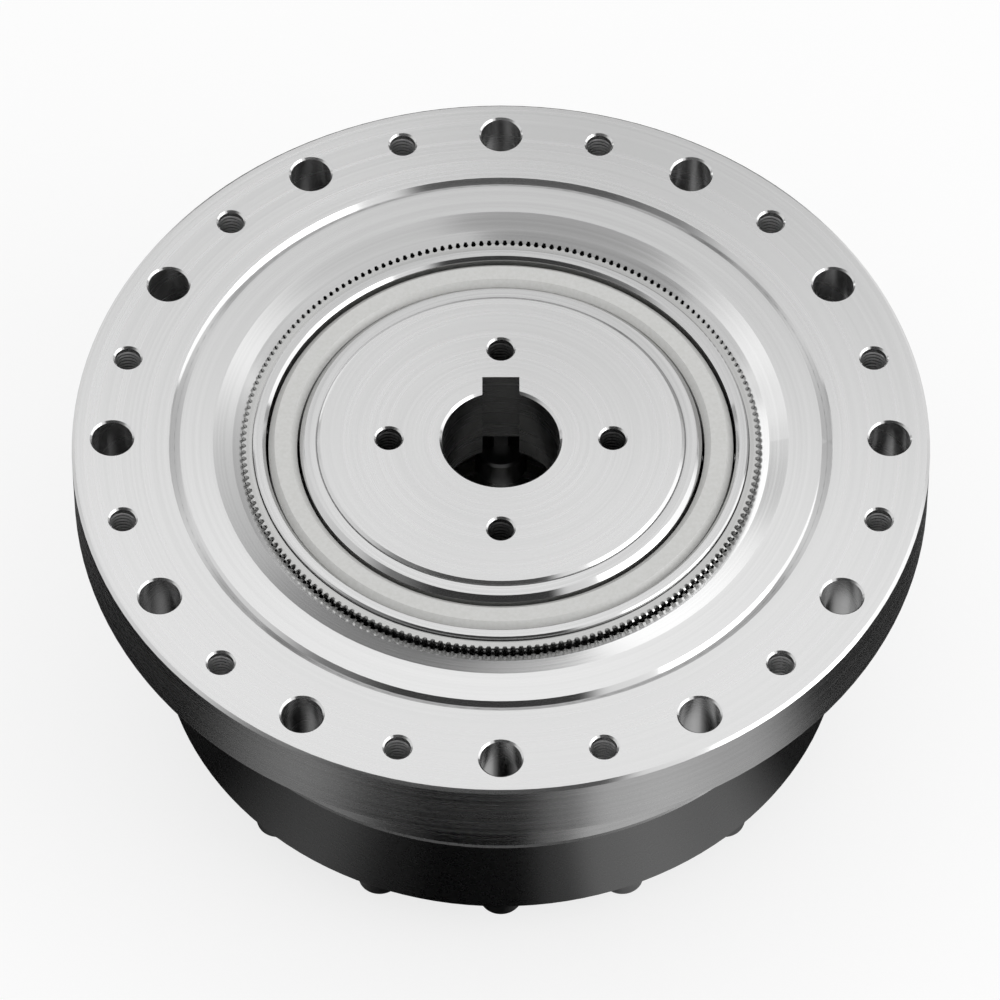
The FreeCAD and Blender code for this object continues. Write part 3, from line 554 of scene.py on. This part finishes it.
def black_oxide(name, dark, light, index, roughness, speck_mm):
    """A black satin film: a fine mottle in colour and gloss, on lathe marks that show through."""
    material = empty_material(name)
    tree = material.node_tree
    marks = turning_marks(tree, OXIDE_MARKS_MM)
    place = add_node(tree, "ShaderNodeTexCoord")
    specks = add_node(tree, "ShaderNodeTexNoise", values={
        "Scale": 1.0 / (speck_mm * MM), "Detail": 4.0}, links={"Vector": place.outputs["Object"]})
    mottle = specks.outputs["Fac"]
    gloss = add_node(tree, "ShaderNodeMapRange", values={
        "From Min": NOISE_LOW, "From Max": NOISE_HIGH,
        "To Min": roughness[0], "To Max": roughness[1]}, links={"Value": mottle})
    bump = add_node(tree, "ShaderNodeBump", values={
        "Strength": 0.5, "Distance": OXIDE_MARK_DEPTH_MM * MM}, links={"Height": marks})
    shader = add_node(tree, "ShaderNodeBsdfPrincipled", values={"Metallic": 0.0, "IOR": index}, links={
        "Base Color": two_greys(tree, mottle, dark, light, OXIDE_LOW), "Roughness": gloss.outputs[0],
        "Normal": bump.outputs[0]})
    add_node(tree, "ShaderNodeOutputMaterial", links={"Surface": shader.outputs[0]})
    return material


# The bearing rings: an even black with a long, soft highlight.
ring_oxide = black_oxide("satin black oxide", "0C0C0D", "111112", index=2.4, roughness=(0.26, 0.30),
                         speck_mm=0.8)
# The screws come from another bath: a little rougher and more mottled.
screw_oxide = black_oxide("black oxide of the screws", "0B0B0C", "161617", index=2.2, roughness=(0.28, 0.38),
                          speck_mm=0.8)
print("oxides:", ring_oxide.name, screw_oxide.name)

# %% Polished rolling steel
SMEAR_MM = 1.5

# Balls and rollers are lapped: they mirror the studio, and thin smears of grease break the mirror up.
rolling_steel = empty_material("polished bearing steel")
tree = rolling_steel.node_tree
place = add_node(tree, "ShaderNodeTexCoord")
smears = add_node(tree, "ShaderNodeTexNoise", values={"Scale": 1.0 / (SMEAR_MM * MM), "Detail": 3.0}, links={
    "Vector": place.outputs["Object"]})
gloss = add_node(tree, "ShaderNodeMapRange", values={"To Min": 0.06, "To Max": 0.14}, links={
    "Value": smears.outputs["Fac"]})
shader = add_node(tree, "ShaderNodeBsdfPrincipled", values={
    "Base Color": srgb("D0D0D1"), "Metallic": 1.0}, links={"Roughness": gloss.outputs[0]})
add_node(tree, "ShaderNodeOutputMaterial", links={"Surface": shader.outputs[0]})
print("made", rolling_steel.name)

# %% Moulded polymer and rubber
def moulded(name, dark, light, index, roughness, grain_mm, bump_mm):
    """A moulded surface: a faint mottle in colour and a fine grain in height."""
    material = empty_material(name)
    tree = material.node_tree
    place = add_node(tree, "ShaderNodeTexCoord")
    specks = add_node(tree, "ShaderNodeTexNoise", values={
        "Scale": 1.0 / (grain_mm * MM), "Detail": 3.0}, links={"Vector": place.outputs["Object"]})
    grain = specks.outputs["Fac"]
    bump = add_node(tree, "ShaderNodeBump", values={"Strength": 0.5, "Distance": bump_mm * MM}, links={
        "Height": grain})
    shader = add_node(tree, "ShaderNodeBsdfPrincipled", values={"Roughness": roughness, "IOR": index}, links={
        "Base Color": two_greys(tree, grain, dark, light), "Normal": bump.outputs[0]})
    add_node(tree, "ShaderNodeOutputMaterial", links={"Surface": shader.outputs[0]})
    return material


# Undyed polyamide from a mould: off-white and matt, the one surface in the picture with no metal in it.
cage_polymer = moulded("natural moulded polyamide", "DADAD7", "E2E2E0", index=1.53, roughness=0.34,
                       grain_mm=0.6, bump_mm=0.006)
# Nitrile rubber: a dull black that drinks the light.
seal_rubber = moulded("nitrile rubber", "161616", "1F1F1F", index=1.52, roughness=0.55, grain_mm=0.4,
                      bump_mm=0.01)
print("moulded:", cage_polymer.name, seal_rubber.name)

# %% [markdown]
# ## Dressing the frame
#
# The record gives each piece of the frame a material slot. One table says which finish goes on each slot,
# so that pieces cut from the same stock look alike. The circular spline shares its slot with the housing,
# but it is a separate ring with a finer finish, so it is dressed by itself.

# %% Dress the nodes
FINISHES = {
    "turned_steel": housing_steel,
    "plug_steel": plug_steel,
    "output_steel": output_steel,
    "flexspline_steel": flexspline_steel,
    "race_steel": race_steel,
    "rolling_steel": rolling_steel,
    "cage_steel": cage_sheet,
    "cage_polymer": cage_polymer,
    "black_oxide": ring_oxide,
    "black_screws": screw_oxide,
    "seal_rubber": seal_rubber,
    "spring_wire": spring_steel,
}
slot_of = {part["node"]: part["material_slot"] for part in frame["record"]["subparts"]}
for name, node in frame["nodes"].items():
    node.material_slots[0].material = FINISHES[slot_of[name]]
frame["nodes"]["circular_spline"].material_slots[0].material = spline_steel
print("dressed", len(frame["nodes"]), "nodes")

# %% [markdown]
# ## The flexspline
#
# The flexspline is a thin steel cup. The wave generator bends its toothed rim into an oval, and as the
# oval turns, the bend runs round the rim while the floor of the cup stays with the output. Here the cup is
# modelled again as one skin: a circle with four points per tooth is extruded ring by ring round the cup's
# section, with the rim bent into the oval and the floor left round.

# %% Ring by ring modelling
MERGE_GAP = 0.001 * MM
SMOOTH_ANGLE = math.radians(35)


def finish_skin(hole_sides=0):
    """Merges doubled points, closes holes of up to so many sides, and turns and smooths the faces."""
    bpy.ops.object.mode_set(mode="EDIT")
    bpy.ops.mesh.select_all(action="SELECT")
    bpy.ops.mesh.remove_doubles(threshold=MERGE_GAP)
    if hole_sides:
        bpy.ops.mesh.fill_holes(sides=hole_sides)
    bpy.ops.mesh.normals_make_consistent(inside=False)
    bpy.ops.object.mode_set(mode="OBJECT")
    bpy.ops.object.shade_smooth_by_angle(angle=SMOOTH_ANGLE)


def skin_of_rings(name, rings):
    """A closed skin: a circle extruded from ring to ring. Rings are lists of points, all of one length."""
    count = len(rings[0])
    bpy.ops.object.select_all(action="DESELECT")
    bpy.ops.mesh.primitive_circle_add(vertices=count, radius=1.0, fill_type="NOTHING")
    piece = bpy.context.object
    piece.name = name
    piece.data.name = name
    bpy.ops.object.mode_set(mode="EDIT")
    # While it grows, the skin is a plain stack of circles, so that a point's height tells its ring and its
    # direction tells its turn. Only then does each point go to its own place.
    for step in range(len(rings)):
        if step:
            bpy.ops.mesh.extrude_edges_indiv()
        mesh = bmesh.from_edit_mesh(piece.data)
        chosen = [v for v in mesh.verts if v.select]
        chosen.sort(key=lambda v: math.atan2(v.co.y, v.co.x) % (2 * math.pi))
        for turn, vertex in enumerate(chosen):
            angle = 2 * math.pi * turn / count
            vertex.co = Vector((math.cos(angle), math.sin(angle), -step))
        bmesh.update_edit_mesh(piece.data)
    mesh = bmesh.from_edit_mesh(piece.data)
    for vertex in mesh.verts:
        step = round(-vertex.co.z)
        turn = round(math.atan2(vertex.co.y, vertex.co.x) / (2 * math.pi) * count) % count
        vertex.co = rings[step][turn]
    bmesh.update_edit_mesh(piece.data)
    finish_skin()
    return piece


print("ring tool ready, smooth up to", round(math.degrees(SMOOTH_ANGLE)), "degrees")

# %% Sizes of the cup and its teeth
# The teeth, by the usual names for gears.
TEETH = 200
TOOTH_MODULE = 0.41 * MM
ADDENDUM = 0.25 * MM
DEDENDUM = 0.30 * MM
TOOTH_SHARE = 0.46
FLANK_ANGLE = 25.0
TOOTH_WIDTH = 14.3 * MM
TOOTH_LEAD = 0.25 * MM
# The rim under the teeth, the wall and the floor. The wall stays round a short way above the corner.
RIM_T = 1.20 * MM
RIM_EASE = 0.12 * MM
WALL_T = 0.75 * MM
FLOOR_T = 0.90 * MM
CORNER_R = 4.0 * MM
STRAIGHT = 0.7 * MM
# The boss in the middle of the floor, which is clamped to the output flange.
BOSS_R = 21.5 * MM
BOSS_BORE_R = 11.0 * MM
BOSS_STEP = 1.8 * MM
BOSS_T = 4.4 * MM
BOSS_SHOULDER = 1.5 * MM

pitch_r = TOOTH_MODULE * TEETH / 2
# The circular spline has two teeth more, so its pitch circle is one module further out.
# The rim bends that far.
wave = TOOTH_MODULE
tip_r, root_r = pitch_r + ADDENDUM, pitch_r - DEDENDUM
inner_r = root_r - RIM_T
wall_r = inner_r + WALL_T
cup_low, cup_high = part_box("flexspline")
top_z = cup_high.z
tooth_end_z = top_z - TOOTH_WIDTH
seat_z = cup_low.z
floor_low_z = seat_z + BOSS_STEP
corner_z = floor_low_z + CORNER_R
round_z = corner_z + STRAIGHT
boss_top_z = seat_z + BOSS_T
floor_top_z = floor_low_z + FLOOR_T

pitch_angle = 2 * math.pi / TEETH
half_pitch_tooth = pitch_angle * TOOTH_SHARE / 2
lean = math.tan(math.radians(FLANK_ANGLE))
half_root = (half_pitch_tooth * pitch_r + DEDENDUM * lean) / root_r
half_tip = (half_pitch_tooth * pitch_r - ADDENDUM * lean) / tip_r
corner_angles = [-half_tip, half_tip, half_root, pitch_angle - half_root]
print("teeth:", TEETH, "on a pitch circle of", round(2 * pitch_r / MM, 1), "mm")

# %% Rings of the bent cup
WALL_STEPS = 12
CORNER_STEPS = 6


def bent(radius, angle, height):
    """A point of the cup after the wave generator has bent it: oval at the teeth and round at the floor."""
    share = min(max((height - round_z) / (tooth_end_z - round_z), 0.0), 1.0)
    # The bent rim keeps its length, so where it moves in and out it also slides along itself, and a tooth
    # stays square to the rim that carries it.
    reach = share * wave
    slide = -reach / 2 * math.sin(2 * angle)
    tilt = (slide + 2 * reach * math.sin(2 * angle)) / inner_r
    along = slide + (radius - inner_r) * tilt
    r, t = radius + reach * math.cos(2 * angle), angle + along / radius
    return Vector((r * math.cos(t), r * math.sin(t), height))


def cup_ring(radius, height, tip=None):
    """One ring of the cup's skin, with four points per tooth. With a tip radius it follows the teeth."""
    points = []
    for tooth in range(TEETH):
        for corner, offset in enumerate(corner_angles):
            r = tip if tip and corner < 2 else radius
            points.append(bent(r, tooth * pitch_angle + offset, height))
    return points


def corner_rings(outer_r, corner_r, steps):
    """Rings round the bend from the wall, of radius outer_r, to the floor."""
    turns = [math.pi / 2 * i / steps for i in range(steps + 1)]
    sizes = [(outer_r - corner_r * (1 - math.cos(t)), corner_z - corner_r * math.sin(t)) for t in turns]
    return [cup_ring(radius, height) for radius, height in sizes]


def wall_rings(radius):
    """Rings down the thin wall, close enough together to twist smoothly."""
    drop = tooth_end_z - round_z
    return [cup_ring(radius, tooth_end_z - drop * i / WALL_STEPS) for i in range(WALL_STEPS + 1)]


print("a ring of the cup has", len(cup_ring(inner_r, top_z)), "points")

# %% Flexspline skin
rings = [
    cup_ring(inner_r, top_z - RIM_EASE),
    cup_ring(inner_r + RIM_EASE, top_z),
    cup_ring(root_r - RIM_EASE, top_z, pitch_r),
    cup_ring(root_r, top_z - TOOTH_LEAD, tip_r),
    cup_ring(root_r, tooth_end_z, tip_r),
]
rings += wall_rings(wall_r)
rings += corner_rings(wall_r, CORNER_R, CORNER_STEPS)
for radius, height in [
    (BOSS_R, floor_low_z), (BOSS_R, seat_z), (BOSS_BORE_R, seat_z), (BOSS_BORE_R, boss_top_z),
    (BOSS_R - BOSS_SHOULDER, boss_top_z), (BOSS_R, floor_top_z),
]:
    rings.append(cup_ring(radius, height))
rings += corner_rings(inner_r, CORNER_R - FLOOR_T, CORNER_STEPS)[::-1]
rings += wall_rings(inner_r)[::-1]
rings.append(cup_ring(inner_r, top_z - RIM_EASE))
flexspline = skin_of_rings("flexspline_cup", rings)
flexspline.data.materials.append(flexspline_steel)
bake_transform(flexspline)
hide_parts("flexspline")
print("flexspline skin:", len(flexspline.data.polygons), "faces")

# %% [markdown]
# ## The knurled screws under the bearing
#
# Sixteen socket head screws hold the bearing rings. A real head is knurled for the fingers, eased at its
# edge, and has a hexagon socket with a small lead-in. All of that is again rings of points, so one screw
# is extruded ring by ring, with every second point of the knurl pulled in, and then copied round its
# circle.

# %% Rings of a screw
KNURLS = 48
KNURL_DEPTH = 0.12 * MM

points_round = 2 * KNURLS


def screw_ring(radius, height, knurled=False):
    """A plain or knurled ring of the screw, at a height above the underside of its head."""
    points = []
    for i in range(points_round):
        angle = 2 * math.pi * i / points_round
        r = radius - KNURL_DEPTH if knurled and i % 2 else radius
        points.append(Vector((r * math.cos(angle), r * math.sin(angle), height)))
    return points


def hexagon_ring(across, height):
    """A ring on the socket's hexagon, given across its flats."""
    points = []
    for i in range(points_round):
        angle = 2 * math.pi * i / points_round
        from_flat = (angle % (math.pi / 3)) - math.pi / 6
        r = across / 2 / math.cos(from_flat)
        points.append(Vector((r * math.cos(angle), r * math.sin(angle), height)))
    return points


print("a ring of the screw has", points_round, "points")

# %% One screw
HEAD_R = 3.5 * MM
HEAD_H = 4.0 * MM
HEAD_EASE = 0.3 * MM
SHANK_R = 2.0 * MM
SHANK_L = 26.6 * MM
SOCKET_ACROSS = 3.0 * MM
SOCKET_DEPTH = 2.0 * MM
SOCKET_LEAD = 0.2 * MM

socket_corner_r = SOCKET_ACROSS / math.sqrt(3)
one_screw = skin_of_rings("bearing_screw", [
    screw_ring(0.0, SHANK_L),
    screw_ring(SHANK_R - HEAD_EASE, SHANK_L),
    screw_ring(SHANK_R, SHANK_L - HEAD_EASE),
    screw_ring(SHANK_R, 0.0),
    screw_ring(HEAD_R - HEAD_EASE, 0.0),
    screw_ring(HEAD_R, -HEAD_EASE),
    screw_ring(HEAD_R, -2 * HEAD_EASE, knurled=True),
    screw_ring(HEAD_R, -HEAD_H + 3 * HEAD_EASE, knurled=True),
    screw_ring(HEAD_R, -HEAD_H + 2 * HEAD_EASE),
    screw_ring(HEAD_R - 0.3 * HEAD_EASE, -HEAD_H + 0.6 * HEAD_EASE),
    screw_ring(HEAD_R - HEAD_EASE, -HEAD_H),
    screw_ring(socket_corner_r + SOCKET_LEAD, -HEAD_H),
    hexagon_ring(SOCKET_ACROSS, -HEAD_H + SOCKET_LEAD),
    hexagon_ring(SOCKET_ACROSS, -HEAD_H + SOCKET_DEPTH),
    screw_ring(0.0, -HEAD_H + SOCKET_DEPTH + SOCKET_ACROSS / 4),
])
one_screw.data.materials.append(screw_oxide)
print("one screw:", len(one_screw.data.polygons), "faces")

# %% All the screws
SCREWS = 16
SCREW_CIRCLE_R = 51.5 * MM
SCREW_FIRST = -90.0


def set_round(model, name, count, circle_r, height, first, turned):
    """Copies of a model round a circle, each with its own mesh. The model itself becomes the last of them."""
    pieces = []
    for i in range(count):
        angle = math.radians(first + 360 * i / count)
        place = Vector((circle_r * math.cos(angle), circle_r * math.sin(angle), height))
        piece = model
        if i < count - 1:
            piece = model.copy()
            piece.data = model.data.copy()
            bpy.context.scene.collection.objects.link(piece)
        piece.name = f"{name}_{i + 1:02d}"
        piece.data.transform(Matrix.Translation(place) @ Matrix.Rotation(angle if turned else 0.0, 4, "Z"))
        pieces.append(piece)
    return pieces


head_top_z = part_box("bearing_ring_lower")[0].z
screws = set_round(one_screw, "bearing_screw", SCREWS, SCREW_CIRCLE_R, head_top_z, SCREW_FIRST, turned=True)
for screw in screws:
    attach(screw, "housing")
    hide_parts("bearing_screws")
print("screws:", len(screws))

# %% [markdown]
# ## Threads in the tapped holes
#
# The frame's tapped holes are plain. A cut thread shows as a fine spiral on the wall, so each hole gets
# one: a small ridge turned up the hole by the Screw modifier, standing a little way into the hole. The
# flange's threads are bright from the tap. Those of the plug and the output flange are a darker grey, a
# painted shade for the inside of their holes.

# %% One thread
RIDGE = 0.16 * MM
BURIED = 0.05 * MM
CREST_SHARE = 0.12
FOOT_SHARE = 0.92
THREAD_STEPS = 28
RIDGE_SIDES = 4


def thread_liner(name, hole_r, pitch, low_z, high_z):
    """A spiral ridge on the wall of a hole at the origin, between two heights."""
    middle_z = low_z + pitch / 2
    bpy.ops.object.select_all(action="DESELECT")
    bpy.ops.mesh.primitive_plane_add(size=pitch, location=(hole_r, 0, middle_z), rotation=(math.pi / 2, 0, 0))
    piece = bpy.context.object
    piece.name = name
    bpy.ops.object.transform_apply(location=True, rotation=True, scale=True)
    bpy.ops.object.mode_set(mode="EDIT")
    mesh = bmesh.from_edit_mesh(piece.data)
    for vertex in mesh.verts:
        inside = vertex.co.x < hole_r
        upper = vertex.co.z > middle_z
        half_width = CREST_SHARE / 2 if inside else FOOT_SHARE / 2
        vertex.co.x = hole_r - RIDGE if inside else hole_r + BURIED
        vertex.co.z = low_z + pitch * (0.5 + half_width if upper else 0.5 - half_width)
    bmesh.update_edit_mesh(piece.data)
    bpy.ops.mesh.select_all(action="SELECT")
    bpy.ops.mesh.delete(type="ONLY_FACE")
    bpy.ops.object.mode_set(mode="OBJECT")
    spiral = piece.modifiers.new("thread", "SCREW")
    spiral.axis = "Z"
    turns = int((high_z - low_z) / pitch) - 1
    spiral.angle = 2 * math.pi * turns
    spiral.screw_offset = pitch * turns
    spiral.steps = THREAD_STEPS * turns
    spiral.render_steps = THREAD_STEPS * turns
    spiral.use_normal_calculate = True
    bpy.ops.object.modifier_apply(modifier=spiral.name)
    finish_skin(hole_sides=RIDGE_SIDES)
    return piece


print("a thread has", THREAD_STEPS, "steps to a turn")

# %% Threads round a bolt circle
def thread_pattern(name, mount_name, pitch, low_z, high_z, first, body, material):
    """Threads in all the holes of one of the record's bolt patterns."""
    mount = next(m for m in frame["record"]["mounts"] if m["name"] == mount_name)
    circle_r = mount["dims"]["pcd_mm"] * MM / 2
    count = mount["dims"]["count"]
    liner = thread_liner(name, mount["dims"]["hole_r_mm"] * MM, pitch, low_z, high_z)
    liner.data.materials.append(material)
    for piece in set_round(liner, name, count, circle_r, 0.0, first, turned=False):
        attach(piece, body)
    print(name, count, "threads of", len(liner.data.polygons), "faces")


# Fresh from the tap: bright crests and dark valleys.
bright_thread = turned_steel("bright tapped steel", "C6C6C6", "D2D2D2", roughness=(0.3, 0.4), spacing_mm=0.5,
                             mark_depth_mm=0.002, grain=0.0)
# The same steel in a darker grey, a painted shade for the dark hole, in which the crests just show.
thread_in_painted_shade = turned_steel("tapped steel in painted shade", "7C7C7C", "8A8A8A", roughness=(0.28, 0.4), spacing_mm=0.5,
                            mark_depth_mm=0.002, grain=0.0)
print("threads are", bright_thread.name, "and", thread_in_painted_shade.name)

# %% All the threads
FLANGE_T = 12.0 * MM
PLUG_H = 16.0 * MM
OUTPUT_TAP_DEPTH = 15.0 * MM
EDGE_BREAK = 0.3 * MM
M5_PITCH = 0.8 * MM
M8_PITCH = 1.25 * MM
FLANGE_TAP_FIRST = 15.0

output_end_z = cad_box[0][2]
thread_pattern("flange_thread", "flange_jack_taps", M5_PITCH, -FLANGE_T + EDGE_BREAK, -EDGE_BREAK,
               FLANGE_TAP_FIRST, "housing", bright_thread)
thread_pattern("hub_thread", "hub_taps", M5_PITCH, -PLUG_H + EDGE_BREAK, -EDGE_BREAK,
               0.0, "wave_generator", thread_in_painted_shade)
thread_pattern("output_thread", "output_taps", M8_PITCH, output_end_z + EDGE_BREAK,
               output_end_z + OUTPUT_TAP_DEPTH, 0.0, "output", thread_in_painted_shade)
